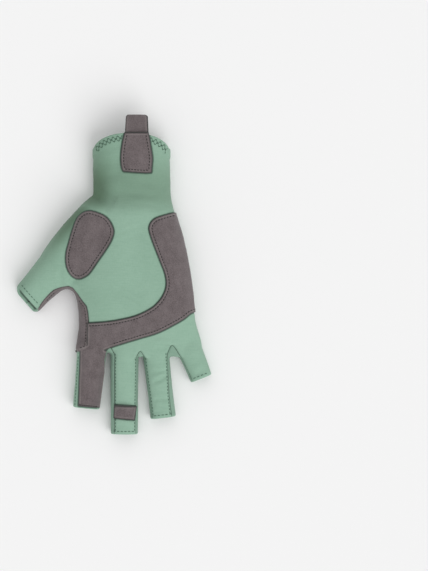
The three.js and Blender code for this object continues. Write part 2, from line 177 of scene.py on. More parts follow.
# The web between the thumb and the hand: x, y, half width and top along its arc.
WEB = [
    (-73.8, 43.1, 5.3, 15.5),
    (-66.0, 49.7, 5.3, 16.5),
    (-60.1, 54.4, 5.3, 17.5),
    (-52.7, 56.6, 5.3, 18.0),
    (-45.8, 54.3, 5.3, 18.5),
    (-41.2, 48.7, 5.3, 18.5),
    (-38.9, 40.0, 5.3, 18.5),
    (-38.2, 30.0, 5.0, 18.0),
    (-37.6, 22.0, 3.6, 15.0),
    (-36.8, 14.0, 2.0, 10.0),
]
# Sections of a finger: share of its length from the open end, share of its root width on into the palm, and
# shares of its width and its depth.
FINGER = [
    (1, 0.9, 0.55, 0.7),
    (1, 0.55, 0.98, 1.1),
    (1, 0.2, 1.04, 1.16),
    (1, 0, 1.0, 1.14),
    (0.9, 0, 1.0, 1.08),
    (0.7, 0, 1.0, 1.03),
    (0.35, 0, 0.99, 1.0),
    (0, 0, 1.0, 0.97),
]


def leaning(degrees):
    """A plan direction that leans from the fingers' direction towards +X."""
    return Vector((math.sin(math.radians(degrees)), -math.cos(math.radians(degrees)), 0))


def smooth_rows(rows, step):
    """Rows of numbers, filled in every step along their first one on a curve that doesn't overshoot."""
    table = np.array(sorted(rows), dtype=float)
    x, y = table[:, 0], table[:, 1:]
    h = np.diff(x)[:, None]
    d = np.diff(y, axis=0) / h
    m = np.zeros_like(y)
    m[0], m[-1] = d[0], d[-1]
    same = d[:-1] * d[1:] > 0
    w1, w2 = 2 * h[1:] + h[:-1], h[1:] + 2 * h[:-1]
    with np.errstate(divide="ignore", invalid="ignore"):
        mean = (w1 + w2) / (w1 / d[:-1] + w2 / d[1:])
    m[1:-1] = np.where(same, mean, 0)
    at = np.linspace(x[0], x[-1], max(2, round((x[-1] - x[0]) / step) + 1))
    k = np.clip(np.searchsorted(x, at) - 1, 0, len(x) - 2)
    t = ((at - x[k]) / h[k, 0])[:, None]
    out = (
        y[k] * (1 + 2 * t) * (1 - t) ** 2
        + m[k] * h[k] * t * (1 - t) ** 2
        + y[k + 1] * t * t * (3 - 2 * t)
        + m[k + 1] * h[k] * t * t * (t - 1)
    )
    return np.column_stack([at, out])


def oval(centre, across, half, top, count, crown=CROWN):
    """The points of one section."""
    middle = top * WIDEST_AT
    points = []
    for i in range(count):
        a = 2 * math.pi * i / count
        c, s = math.cos(a), math.sin(a)
        side = math.copysign(abs(c) ** (2 / crown), c) * half
        reach = top - middle if s > 0 else middle + SUNK_BACK
        z = middle + math.copysign(abs(s) ** (2 / crown), s) * reach
        points.append(Vector((centre.x + across.x * side, centre.y + across.y * side, z)))
    return points


def verts_in(made):
    return [v for v in made if isinstance(v, bmesh.types.BMVert)]


def loft(bm, rings):
    """A closed tube through rings of points, which are of one count."""
    ring = bmesh.ops.create_circle(bm, segments=len(rings[0]), radius=1)["verts"]

    def around():
        return [bm.edges.get(pair) for pair in zip(ring, ring[1:] + ring[:1])]

    first = around()
    for k, points in enumerate(rings):
        if k > 0:
            new = set(verts_in(bmesh.ops.extrude_edge_only(bm, edges=around())["geom"]))
            ring = [next(o for e in v.link_edges if (o := e.other_vert(v)) in new) for v in ring]
        for v, p in zip(ring, points):
            v.co = p
    for edges in (first, around()):
        bmesh.ops.contextual_create(bm, geom=edges)


def clamped(x):
    """The number, kept from 0 to 1."""
    return min(max(x, 0), 1)


def crotch_y(x):
    """Where the hand ends, at a place across it."""
    k = sum(x > c[0] for c in CROTCHES[1:-1])
    a, b = CROTCHES[k], CROTCHES[k + 1]
    t = clamped((x - a[0]) / (b[0] - a[0]))
    return a[1] + (b[1] - a[1]) * t * t * (3 - 2 * t)


THUMB_AXIS = leaning(-39.5)
THUMB_INWARD = UP.cross(THUMB_AXIS)
BEYOND = 6.0  # how far the form runs on past each open end, before the ends are cut
RING_STEP = 2.5
CROTCH_REACH = 7.7  # how far up the hand its end is drawn in between the fingers


def on_thumb(along, across):
    """A plan point of the thumb: shares of its length from the wrist and of its width from its outer edge."""
    return THUMB_ROOT + THUMB_AXIS * along * THUMB_LENGTH + THUMB_INWARD * across * THUMB_WIDTH


def on_finger(name, along, side):
    """A plan point of a finger: share of its length from the open end, and mm across."""
    finger = FINGERS[name]
    axis = leaning(finger.lean)
    return Vector((finger.root, 0, 0)) + axis * ((1 - along) * finger.length) + UP.cross(axis) * side


def finger_half(name, along, wide=1.0):
    """Half a finger's width, at a share of its length from the open end."""
    finger = FINGERS[name]
    return (finger.tip_width + (finger.root_width - finger.tip_width) * along) * wide / 2


def as_object(name, bm):
    """A bmesh as an object, in its own units."""
    mesh = bpy.data.meshes.new(name)
    bm.to_mesh(mesh)
    bm.free()
    return placed(name, mesh)


def settled(obj):
    """The object's mesh with its modifiers applied, as a bmesh; the object itself goes."""
    ready = obj.evaluated_get(bpy.context.evaluated_depsgraph_get())
    mesh = bpy.data.meshes.new_from_object(ready)
    bm = bmesh.new()
    bm.from_mesh(mesh)
    bpy.data.meshes.remove(mesh)
    bpy.data.meshes.remove(obj.data)
    return bm


bm = bmesh.new()
rings = []
for y, left, right, top in smooth_rows(HAND, RING_STEP):
    ring = oval(Vector(((left + right) / 2, y, 0)), Vector((1, 0, 0)), (right - left) / 2, top, 72)
    for p in ring:
        p.y += crotch_y(p.x) * max(1 - y / CROTCH_REACH, 0)
    rings.append(ring)
rings.append([p + Vector((0, BEYOND, 0)) for p in rings[-1]])
loft(bm, rings)
rings = []
for s, outer, inner, top in smooth_rows(THUMB, RING_STEP):
    centre = THUMB_ROOT + THUMB_AXIS * s + THUMB_INWARD * (inner - outer) / 2
    rings.append(oval(centre, THUMB_INWARD, (inner + outer) / 2, top, 56))
rings.append([p + THUMB_AXIS * (BEYOND + THUMB_OVERHANG) for p in rings[-1]])
loft(bm, rings)
for name, finger in FINGERS.items():
    axis = leaning(finger.lean)
    stations = []
    for along, inward, wide, top in FINGER:
        down = (1 - along) * finger.length - inward * finger.root_width
        stations.append((down, finger_half(name, along, wide), top * finger.depth))
    rings = [
        oval(Vector((finger.root, 0, 0)) + axis * s, UP.cross(axis), half, top, 48, FINGER_CROWN)
        for s, half, top in smooth_rows(stations, RING_STEP)
    ]
    rings.append([p + axis * BEYOND for p in rings[-1]])
    loft(bm, rings)
rings = []
for k, (x, y, half, top) in enumerate(WEB):
    before, after = WEB[max(k - 1, 0)], WEB[min(k + 1, len(WEB) - 1)]
    run = Vector((after[0] - before[0], after[1] - before[1], 0)).normalized()
    rings.append(oval(Vector((x, y, 0)), UP.cross(run), half, top, 32))
loft(bm, rings)
bmesh.ops.recalc_face_normals(bm, faces=bm.faces)


def modify(obj, name, kind, **settings):
    """Adds a modifier with its settings."""
    mod = obj.modifiers.new(name, kind)
    for key, value in settings.items():
        setattr(mod, key, value)


VOXEL = 1.1
form = as_object("form", bm)
modify(form, "fuse", "REMESH", mode="VOXEL", voxel_size=VOXEL)
modify(form, "relax", "SMOOTH", factor=0.5, iterations=9)
bm = settled(form)


def cuff_rim(x):
    """y of the cuff's edge, at a place across it."""
    c = min(abs(x - CUFF_CENTRE) / CUFF_HALF, 1) ** (CROWN / 2)
    return CUFF_Y - CUFF_ARCH * (1 - math.hypot(math.sqrt(1 - c * c), CUFF_SOFTNESS))


# Creases and folds of the worn cloth: side of the glove (1 palm, -1 back), depth, width, and plan points. A
# negative depth is a ridge.
CREASES = [
    (1, 2.0, 5.5, [(-40, 130), (-32, 127), (-23, 122), (-12, 118)]),
    (1, 0.8, 4.5, [(-30, 137), (-20, 139), (-8, 144)]),
    (1, 0.6, 4.0, [(2, 134), (16, 131), (30, 132)]),
    (1, 0.5, 2.6, [(-8, 126), (4, 124), (20, 122)]),
    (1, 0.4, 2.2, [(-2, 117), (12, 116), (24, 113)]),
    (1, 0.6, 3.0, [(-30, 146), (-14, 149), (-4, 152)]),
    (1, 1.5, 14.0, [(-8, 105), (0, 80), (2, 55), (-6, 36)]),
    (1, 0.6, 1.4, [(11.5, -13), (18, -12.8), (26.5, -11.5)]),
    (1, 0.9, 1.5, [(13, -20.8), (19, -19.5), (26.5, -14.5)]),
    (1, 0.6, 1.4, [(13.5, -34.5), (20, -34), (27.5, -33.5)]),
    (1, 0.4, 1.5, [(15, -44), (22, -43)]),
    (1, -0.9, 2.0, [(28.5, 8.5), (24, 10.5), (14, 11)]),
    (1, 0.7, 2.2, [(40, -12), (46, -15), (55, -11)]),
    (1, 0.5, 2.0, [(-50, 52), (-46, 62), (-38, 70)]),
    (1, 0.45, 1.8, [(-55, 50), (-57, 60), (-56, 68)]),
    (1, 0.3, 1.6, [(-15, -56), (-9, -54), (-2, -57)]),
    (-1, 0.6, 2.4, [(-48.8, 62.5), (-55.2, 71.4)]),
    (-1, 0.5, 2.0, [(35.5, 4.5), (27, 6), (18.4, 3.2)]),
    (-1, 0.4, 2.4, [(-20, 6), (-6, 9), (10, 6)]),
    (-1, 0.4, 3.0, [(-26, 128), (0, 124), (24, 127)]),
]


def run_of(points, step, closed=False):
    """A smooth run through plan points, as an array with a point about every step."""
    pts = np.array([tuple(p)[:2] for p in points], dtype=float)
    if len(pts) == 2:
        n = max(2, int(np.linalg.norm(pts[1] - pts[0]) / step) + 1)
        return pts[0] + (pts[1] - pts[0]) * np.linspace(0, 1, n)[:, None]
    if closed:
        ends = np.vstack([pts[-1:], pts, pts[:2]])
    else:
        ends = np.vstack([2 * pts[0] - pts[1], pts, 2 * pts[-1] - pts[-2]])
    out = []
    for a, b, c, d in zip(ends, ends[1:], ends[2:], ends[3:]):
        n = max(1, int(np.linalg.norm(c - b) / step))
        t = (np.arange(n) / n)[:, None]
        out.append(b + 0.5 * t * (c - a + t * (2 * a - 5 * b + 4 * c - d + t * (3 * (b - c) + d - a))))
    return np.vstack(out if closed else out + [pts[-1:]])


def evenly(path, step):
    """Points at even steps along a plan path."""
    pts = np.array([tuple(p)[:2] for p in path], dtype=float)
    far = np.concatenate([[0], np.cumsum(np.hypot(*np.diff(pts, axis=0).T))])
    count = max(2, int(far[-1] / step))
    at = np.linspace(0, far[-1], count + 1)
    return np.column_stack([np.interp(at, far, pts[:, 0]), np.interp(at, far, pts[:, 1])])


def nearest_on(path, xy):
    """Distance from plan points to a run, and the share along it of the nearest place."""
    gap = np.full(len(xy), 1e9)
    share = np.zeros(len(xy))
    for k, p in enumerate(path):
        d = np.hypot(*(xy - p).T)
        closer = d < gap
        gap[closer] = d[closer]
        share[closer] = k / (len(path) - 1)
    return gap, share


bm.normal_update()
where = np.array([v.co[:] for v in bm.verts])
facing = np.array([v.normal[:] for v in bm.verts])
# The wrist is slack, so the cloth sinks there, gently from the cuff and steeply up to the palm and the thumb.
WRIST_Y = 127.0
SINK_REACH = (24.0, 11.0)  # towards the cuff, and towards the hand
SINK_DEPTH = (4.0, 2.4)  # at the thumb's side, and at the other
past_wrist = where[:, 1] - WRIST_Y
sink = np.exp(-((past_wrist / np.where(past_wrist > 0, *SINK_REACH)) ** 2))
sink *= np.interp(where[:, 0], (-32, 28), SINK_DEPTH)
push = -sink * np.clip(facing[:, 2], 0, 1)
# The cuff's hem is double, so it stands a little proud, down to a soft step.
CUFF_HEM = 7.9
HEM_STEP = 0.6
STEP_SOFTNESS = 0.35
rim_gap = np.array([cuff_rim(x) for x in where[:, 0]]) - where[:, 1]
push += HEM_STEP / (1 + np.exp((rim_gap - CUFF_HEM) / STEP_SOFTNESS))
for side, depth, width, points in CREASES:
    gap, share = nearest_on(run_of(points, width / 3), where[:, :2])
    fade = np.clip(np.minimum(share, 1 - share) * 5, 0.15, 1)
    faces_it = np.clip(facing[:, 2] * side * 1.6, 0, 1)
    valley = np.exp(-((gap / width) ** 2)) - 0.35 * np.exp(-(((gap - 2.1 * width) / width) ** 2))
    push -= depth * valley * fade * faces_it
UNEVENNESS = [(0.34, 17.0), (0.16, 6.5)]  # height and size of its swells
FULLNESS = 0.12
for height, size in UNEVENNESS:
    push += height * np.array([noise.noise(Vector(p) / size) for p in where])
where += facing * (push + FULLNESS)[:, None]
for v, p in zip(bm.verts, where):
    v.co = p
    v.co.z = max(v.co.z, REST)
NEAR_FLOOR = 3.0
low = [v for v in bm.verts if v.co.z < NEAR_FLOOR]
for _ in range(4):
    bmesh.ops.smooth_vert(bm, verts=low, factor=0.5, use_axis_x=True, use_axis_y=True, use_axis_z=True)
for v in low:
    v.co.z = max(v.co.z, REST)
form_tree = BVHTree.FromBMesh(bm)
form = as_object("form", bm)


UNDER, OVER = -50.0, 80.0  # heights clear of the form, for the blocks that cut it


def prism(name, points, run):
    """A solid on a closed outline of points, run along a vector."""
    bm = bmesh.new()
    verts = bmesh.ops.create_circle(bm, cap_ends=True, segments=len(points), radius=1)["verts"]
    for v, p in zip(verts, points):
        v.co = p
    made = bmesh.ops.extrude_face_region(bm, geom=bm.faces[:])["geom"]
    bmesh.ops.translate(bm, verts=verts_in(made), vec=run)
    bmesh.ops.recalc_face_normals(bm, faces=bm.faces)
    return as_object(name, bm)


def block(name, outline, low, high):
    """An upright block over a plan outline, to cut with."""
    return prism(name, [(p[0], p[1], low) for p in outline], (0, 0, high - low))


def combined(obj, how, cutter):
    """The object with a cutter taken off it, added to it or kept alone; both go."""
    modify(obj, "cut", "BOOLEAN", operation=how, solver="MANIFOLD", object=cutter)
    made = as_object(obj.name, settled(obj))
    bpy.data.meshes.remove(cutter.data)
    return made


def copy_of(obj, name):
    """A copy of the object, to cut."""
    return placed(name, obj.data.copy())


uncut = copy_of(form, "uncut_form")
# The open ends are cut a little short, by the radius of their turned edges.
FAR = 400.0
rim_line = [(x, cuff_rim(x) - RIM) for x in np.linspace(-33, 28, 80)]
past_cuff = block("past_cuff", rim_line + [(FAR, 150), (FAR, FAR), (-FAR, FAR), (-FAR, 150)], UNDER, OVER)
form = combined(form, "DIFFERENCE", past_cuff)
for name, finger in FINGERS.items():
    axis = leaning(finger.lean)
    end = on_finger(name, RIM / finger.length, 0)
    wide, deep = UP.cross(axis) * 13.5, axis * 20
    outline = [end - wide, end + wide, end + wide + deep, end - wide + deep]
    form = combined(form, "DIFFERENCE", block("past_finger", outline, UNDER, OVER))

THUMB_MIDDLE = THUMB[-1][3] * WIDEST_AT


def thumb_end(side, z):
    """How far along the thumb's axis its open end lies, at mm across from its axis and a height."""
    under = clamped(1 - z / THUMB_MIDDLE)
    return THUMB_FRONT - RIM + THUMB_SKEW * side + THUMB_OVERHANG * under


thumb_centre = THUMB_ROOT + THUMB_INWARD * THUMB_WIDTH / 2
CUT_HALF = 22.0
# The cut's profile: z, and how much of the overhang lies before it; 9 is far past the end.
profile = []
for z, run in ((-12, 1.0), (0.0, 1.0), (THUMB_MIDDLE, 0.0), (40, 0.0), (40, 9.0), (-12, 9.0)):
    along = THUMB_FRONT - RIM + (THUMB_OVERHANG * run if run <= 1 else 30)
    along -= THUMB_SKEW * CUT_HALF
    profile.append(thumb_centre + THUMB_AXIS * along - THUMB_INWARD * CUT_HALF + UP * z)
across = (THUMB_INWARD + THUMB_AXIS * THUMB_SKEW) * 2 * CUT_HALF
form = combined(form, "DIFFERENCE", prism("past_thumb", profile, across))


# Palm panel. Four-way stretch fabric in mint, one piece with the fronts of the fingers and the thumb. It is
# sewn to its neighbours with the edges turned in, so each seam lies in a groove, and its open ends are
# hemmed.

SEAM_Z = 8.0
WALL = 1.0
ON_FLOOR = 0.03
FAR_FROM_EDGE = 5.0
IN_SHADE = 0.3  # what a hem's inside takes as its distance from an edge, so it is painted in shade
SEAM_LINE = 0.42  # a seam's own value, so a dark line of painted shade runs along it


def palm_at(across, along):
    """A plan point of the palm: shares of its width and length."""
    return Vector((across * 90.5, along * CUFF_Y, 0))


def joined(*parts):
    """Plan points in a row, from pairs of a function for a place and the numbers it takes."""
    return [place(*p) for place, points in parts for p in points]


gusset_palm_seam = joined(
    (on_thumb, [(1.16, 1.02), (1.005, 0.967), (0.941, 0.933), (0.862, 0.939), (0.8, 0.972), (0.742, 1.096)]),
    (palm_at, [(-0.563, 0.309), (-0.533, 0.302), (-0.486, 0.271), (-0.449, 0.244), (-0.414, 0.221)]),
    (palm_at, [(-0.401, 0.189), (-0.395, 0.146), (-0.401, 0.097), (-0.406, 0.033)]),
)
gusset_back_seam = joined(
    (on_thumb, [(1.2, 0.62), (0.98, 0.58), (0.85, 0.6), (0.74, 0.68)]),
    (palm_at, [(-0.624, 0.406), (-0.585, 0.37), (-0.53, 0.345), (-0.478, 0.295), (-0.452, 0.25)]),
    (palm_at, [(-0.43, 0.175), (-0.43, 0.015)]),
)
web_space = joined((palm_at, [(-0.56, 0.011), (-0.57, 0.2)]), (on_thumb, [(0.8, 1.35), (1.25, 1.25)]))


def two_storey(name, upper, lower):
    """A block to cut with: one plan outline above the side seams' height and another one under it."""
    return combined(block(name, lower, -20, SEAM_Z), "UNION", block(name, upper, SEAM_Z - 0.5, OVER))


def gusset_block():
    sides = [[*run_of(seam, 2.0), *web_space] for seam in (gusset_palm_seam, gusset_back_seam)]
    return two_storey("gusset_block", *sides)


PAST_END = 4.0


def crotch_outline(first, second, first_insets, second_insets, top):
    """Round a crotch: up one finger's edge, over the crotch and down the next one's, inset on both."""
    steps = [(a, w) for a, inward, w, t in FINGER if inward == 0][::-1]

    def edge(finger, insets, along, wide):
        tip, root = insets
        return finger_half(finger, along, wide) - tip - (root - tip) * max(along - 0.4, 0) / 0.6

    def past(finger, insets, way):
        tip_half = FINGERS[finger].tip_width / 2
        return on_finger(finger, -PAST_END / FINGERS[finger].length, way * (tip_half - insets[0]))

    rising = [on_finger(first, a, edge(first, first_insets, a, w)) for a, w in steps]
    falling = [on_finger(second, a, -edge(second, second_insets, a, w)) for a, w in steps][::-1]
    start, end = past(first, first_insets, 1), past(second, second_insets, -1)
    between = (start + end) / 2
    between.y = min(start.y, end.y) - PAST_END
    return [start, *run_of([*rising, Vector((*top, 0)), *falling], 1.5), end, between]


# Each fourchette's two fingers, and its seams on the palm side and on the back: how far they lie inside the
# first and the second finger's edge, each at the open end and at the root, and where they pass over the
# crotch.
BACK_INSETS = ((2.6, 2.6), (2.6, 2.6))
CROTCH_SEAMS = {
    "fourchette_index_middle": (
        "index",
        "middle",
        ((0.8, 0.8), (2.8, 2.8), (-19.6, 6.0)),
        (*BACK_INSETS, (-20.0, 4.3)),
    ),
    "fourchette_middle_ring": (
        "middle",
        "ring",
        ((0.9, 0.7), (0.9, 0.7), (4.5, 3.0)),
        (*BACK_INSETS, (4.6, 3.4)),
    ),
    "fourchette_ring_little": (
        "ring",
        "little",
        ((2.6, 0.9), (0.8, 0.8), (29.2, 7.2)),
        (*BACK_INSETS, (30.0, 9.4)),
    ),
}


def crotch_block(name):
    first, second, *sides = CROTCH_SEAMS[name]
    return two_storey(name, *(crotch_outline(first, second, *side) for side in sides))


OFF_FORM = 0.2
WELD = 0.15
SLIVER = 0.02


def drop_astray(bm, least):
    """Deletes the faces that don't lie on the form, or that face another way than it does there."""
    bm.normal_update()
    astray = []
    for face in bm.faces:
        place, normal, index, gap = form_tree.find_nearest(face.calc_center_median())
        if gap > OFF_FORM or normal.dot(face.normal) < least:
            astray.append(face)
    bmesh.ops.delete(bm, geom=astray, context="FACES")


def smooth_normal(place, reach=2.4):
    """The form's outward direction at a place, evened out over its surroundings."""
    near = form_tree.find_nearest_range(place, reach)
    return sum((normal for spot, normal, index, gap in near), Vector()).normalized()


def sheet_from(obj):
    """The form's own surface on a cut block, as a sheet: what the cutters faced is dropped."""
    bm = bmesh.new()
    bm.from_mesh(obj.data)
    bpy.data.meshes.remove(obj.data)
    drop_astray(bm, 0.6)
    edge_verts = {v for e in bm.edges if e.is_boundary for v in e.verts}
    bmesh.ops.remove_doubles(bm, verts=list(edge_verts), dist=WELD)
    bmesh.ops.dissolve_degenerate(bm, edges=bm.edges, dist=SLIVER)
    bmesh.ops.triangulate(bm, faces=[f for f in bm.faces if len(f.verts) > 4])
    while crossed := [e for e in bm.edges if len(e.link_faces) > 2]:
        smallest = {min(e.link_faces, key=lambda f: f.calc_area()) for e in crossed}
        bmesh.ops.delete(bm, geom=list(smallest), context="FACES")
    return bm


def open_end(p):
    """The direction in which the glove's open end faces, if a point lies on one of them."""
    if p.y > 150:
        return Vector((0, 1, 0)) if abs(p.y - cuff_rim(p.x) + RIM) < 0.35 else None
    for name, finger in FINGERS.items():
        axis = leaning(finger.lean)
        from_end = p - on_finger(name, RIM / finger.length, 0)
        if abs(axis.dot(from_end)) < 0.2 and abs(UP.cross(axis).dot(from_end)) < 13:
            return axis
    from_end = p - thumb_centre
    along, side = THUMB_AXIS.dot(from_end), THUMB_INWARD.dot(from_end)
    return THUMB_AXIS if abs(along - thumb_end(side, p.z)) < 0.3 and abs(side) < 20 else None


def from_border(bm, seams_only=True):
    """For each vertex, its distance from the nearest sewn or raw edge of the sheet."""
    spots = []
    for e in bm.edges:
        if e.is_boundary:
            a, b = (v.co for v in e.verts)
            if not seams_only or not (open_end(a) and open_end(b)):
                spots += [a.copy(), (a + b) / 2, b.copy()]
    tree = KDTree(len(spots))
    for k, p in enumerate(spots):
        tree.insert(p, k)
    tree.balance()
    return {v: tree.find(v.co)[2] for v in bm.verts}


def refine(bm, width, rounds=1, seams_only=True):
    """Finer faces in a strip along the sheet's edges."""
    for k in range(rounds):
        gap = from_border(bm, seams_only)
        strip = [f for f in bm.faces if min(gap[v] for v in f.verts) < width / (k + 1)]
        bmesh.ops.triangulate(bm, faces=strip)
        near = [e for e in bm.edges if max(gap[v] for v in e.verts) < width / (k + 1)]
        bmesh.ops.subdivide_edges(bm, edges=near, cuts=1, use_grid_fill=True)
        bmesh.ops.triangulate(bm, faces=[f for f in bm.faces if len(f.verts) > 4])
    return from_border(bm, seams_only)


def press(bm, gap, relief, upright=False):
    """Moves the sheet out by a relief over the distance from its edge; upright keeps its outline in plan."""
    bm.normal_update()
    moves = []
    for v in bm.verts:
        way = smooth_normal(v.co, 1.3) if gap[v] < 0.7 and not upright else v.normal.copy()
        if upright:
            way.xy *= min(max(1.6 - 1.7 * way.z, 0.2), 1)
        moves.append((v, way * relief(gap[v])))
    for v, move in moves:
        v.co += move


TURN_STEPS = 5


def turn_in(bm, hem):
    """Turns the cloth in round every open end and runs it back inside as a hem.

    Gives the hem's vertices, and the faces that show their inner side."""
    bm.normal_update()
    edges = []
    for e in bm.edges:
        if e.is_boundary and all(open_end(v.co) for v in e.verts):
            edges.append(e)
    start = {v: (v.co.copy(), open_end(v.co), smooth_normal(v.co)) for e in edges for v in e.verts}
    turns = [("turn", k * math.pi / TURN_STEPS) for k in range(1, TURN_STEPS + 1)]
    turns += [("back", hem * k / 3) for k in (1, 2, 3)]
    ring = {v: v for v in start}
    inside, folded = [], []
    for kind, amount in turns:
        made = bmesh.ops.extrude_edge_only(bm, edges=edges)["geom"]
        new = set(verts_in(made))
        if kind == "back":
            inside += new
        if kind == "back" or amount > math.pi / 2 + 0.1:
            folded += [f for f in made if isinstance(f, bmesh.types.BMFace)]
        edges = [e for e in made if isinstance(e, bmesh.types.BMEdge) and all(v in new for v in e.verts)]
        for first, v in ring.items():
            ring[first] = next(o for e in v.link_edges if (o := e.other_vert(v)) in new)
            place, axis, normal = start[first]
            inward = -(normal - axis * normal.dot(axis)).normalized()
            if kind == "turn":
                reach = axis * RIM * math.sin(amount) + inward * RIM * (1 - math.cos(amount))
            else:
                reach = inward * RIM * 2 - axis * amount
            ring[first].co = place + reach
    return inside, folded


GROOVE_WIDTH = 1.7
SWELL = 0.1


def seam_groove(deep):
    """A relief for sewn edges: they roll in, with the cloth a little full beside them."""

    def relief(d):
        groove = -deep * (1 - d / GROOVE_WIDTH) ** 2 if d < GROOVE_WIDTH else 0
        return groove + SWELL * math.exp(-(((d - 1.9 * GROOVE_WIDTH) / GROOVE_WIDTH) ** 2))

    return relief


def add(tree, kind, settings=(), **inputs):
    """Adds a node. Inputs are given by name, with _ for a space, as a value or as a socket to join."""
    node = tree.nodes.new(kind)
    for key, value in dict(settings).items():
        setattr(node, key, value)
    for key, value in inputs.items():
        if key[0] == "i" and key[1:].isdigit():
            socket = node.inputs[int(key[1:])]
        else:
            socket = node.inputs[key.replace("_", " ")]
        if isinstance(value, bpy.types.NodeSocket):
            tree.links.new(value, socket)
        else:
            socket.default_value = value
    return node


def math_node(tree, how, a, b=0.0):
    return add(tree, "ShaderNodeMath", {"operation": how}, i0=a, i1=b).outputs[0]


def times(tree, *factors):
    """The product of sockets and numbers."""
    product = factors[0]
    for factor in factors[1:]:
        product = math_node(tree, "MULTIPLY", product, factor)
    return product


def weighted(tree, *parts):
    """The sum of sockets, each times its weight."""
    total = times(tree, *parts[0])
    for part in parts[1:]:
        total = math_node(tree, "ADD", total, times(tree, *part))
    return total


def vector_node(tree, how, a, b):
    return add(tree, "ShaderNodeVectorMath", {"operation": how}, i0=a, i1=b)


def place_in_mm(tree):
    """The place on the piece, in mm."""
    place = add(tree, "ShaderNodeTexCoord").outputs["Object"]
    return vector_node(tree, "MULTIPLY", place, (1 / MM, 1 / MM, 1 / MM)).outputs[0]


def in_range(tree, value, low, high, to_low=0.0, to_high=1.0):
    """A value brought from one range to another, with soft ends."""
    ends = {"From_Min": low, "From_Max": high, "To_Min": to_low, "To_Max": to_high}
    smooth = {"interpolation_type": "SMOOTHSTEP"}
    return add(tree, "ShaderNodeMapRange", smooth, Value=value, **ends).outputs["Result"]


def blend_colour(tree, fac, a, b):
    return add(tree, "ShaderNodeMix", {"data_type": "RGBA"}, i0=fac, i6=a, i7=b).outputs[2]


def grain(tree, place, scale, detail=2.0, roughness=0.5):
    """Noise over a place in mm, stretched by a scale for each axis, per mm."""
    stretched = vector_node(tree, "MULTIPLY", place, scale).outputs[0]
    node = add(tree, "ShaderNodeTexNoise", Vector=stretched, Scale=1.0, Detail=detail, Roughness=roughness)
    return node.outputs[0]


def cloth_group(name, build):
    """A node group over the piece's own place, that puts out a tone and a height."""
    group = bpy.data.node_groups.new(name, "ShaderNodeTree")
    group.interface.new_socket("Tone", in_out="OUTPUT", socket_type="NodeSocketFloat")
    group.interface.new_socket("Height", in_out="OUTPUT", socket_type="NodeSocketFloat")
    out = group.nodes.new("NodeGroupOutput")
    tone, height = build(group, place_in_mm(group))
    group.links.new(tone, out.inputs["Tone"])
    group.links.new(height, out.inputs["Height"])
    return group


def knit(group, place):
    """Fine ribs along y, uneven courses across them, and broad worn places."""
    wales = grain(group, place, (1.5, 0.5, 1.5), 3)
    courses = grain(group, place, (0.16, 1.3, 0.16), 3, 0.6)
    worn = grain(group, place, (0.03, 0.03, 0.03), 2)
    tone = weighted(group, (courses, 0.33), (worn, 0.37), (wales, 0.3))
    return tone, weighted(group, (wales, 1.0), (courses, 0.4))


def paint_bump(tree, paint, height, strength, distance):
    bump = add(tree, "ShaderNodeBump", Height=height, Strength=strength, Distance=distance)
    tree.links.new(bump.outputs["Normal"], paint.inputs["Normal"])


def cloth_shader(name, group, tones, colours, **values):
    """A cloth's material with its plain colour, before what changes towards an edge."""
    mat, tree, paint = shader(name, **values)
    cloth = add(tree, "ShaderNodeGroup", {"node_tree": group})
    edge = add(tree, "ShaderNodeAttribute", {"attribute_name": "from_edge"}).outputs["Fac"]
    colour = blend_colour(tree, in_range(tree, cloth.outputs["Tone"], *tones), *colours)
    return mat, tree, paint, cloth.outputs["Height"], edge, colour


mint, tree, paint, height, edge, colour = cloth_shader(
    "mint_stretch_knit",
    cloth_group("knit_cloth", knit),
    (0.3, 0.7),
    ((0.238, 0.388, 0.292, 1), (0.288, 0.447, 0.346, 1)),
    Roughness=0.82,
    Specular_IOR_Level=0.25,
    Sheen_Weight=0.15,
    Sheen_Roughness=0.5,
)
place = place_in_mm(tree)
x, y, z = add(tree, "ShaderNodeSeparateXYZ", Vector=place).outputs[:3]
# Painted shade: the wrist is darker, most towards the thumb's side, and so is the outer side of the thumb's
# base, with both weaker on the back.
wrist_painted_shade = times(
    tree,
    in_range(tree, y, 42, 62),
    in_range(tree, y, 70, 98, 1.0, 0.3),
    in_range(tree, x, -12, 3, 1.0, 0.48),
)
from_root = vector_node(tree, "SUBTRACT", place, PLACE @ THUMB_ROOT / MM).outputs[0]
inwards = vector_node(tree, "DOT_PRODUCT", from_root, THUMB_INWARD).outputs["Value"]
onwards = vector_node(tree, "DOT_PRODUCT", from_root, THUMB_AXIS).outputs["Value"]
outer = times(
    tree,
    in_range(tree, inwards, 1, 13, 0.95, 0.0),
    in_range(tree, onwards, 22, 66, 1.0, 0.25),
    in_range(tree, y, 48, 62, 1.0, 0.0),
)
# deep is the painted shade's strength, weaker towards the back side.
deep = times(tree, math_node(tree, "MAXIMUM", wrist_painted_shade, outer), in_range(tree, z, 3, 12, 0.4, 1.0))
colour = blend_colour(tree, deep, colour, (0.105, 0.178, 0.115, 1))
# Painted shade: dark towards every seam, in the hems' insides, over the fourchettes and beside the patches.
dark = in_range(tree, edge, 0.0, 0.9, 0.85, 0.0)
colour = blend_colour(tree, dark, colour, (0.034, 0.062, 0.045, 1))
tree.links.new(colour, paint.inputs["Base Color"])
paint_bump(tree, paint, height, 0.35, 0.25 * MM)


FLOOR_ROUNDS = 10  # until no wall reaches under the floor


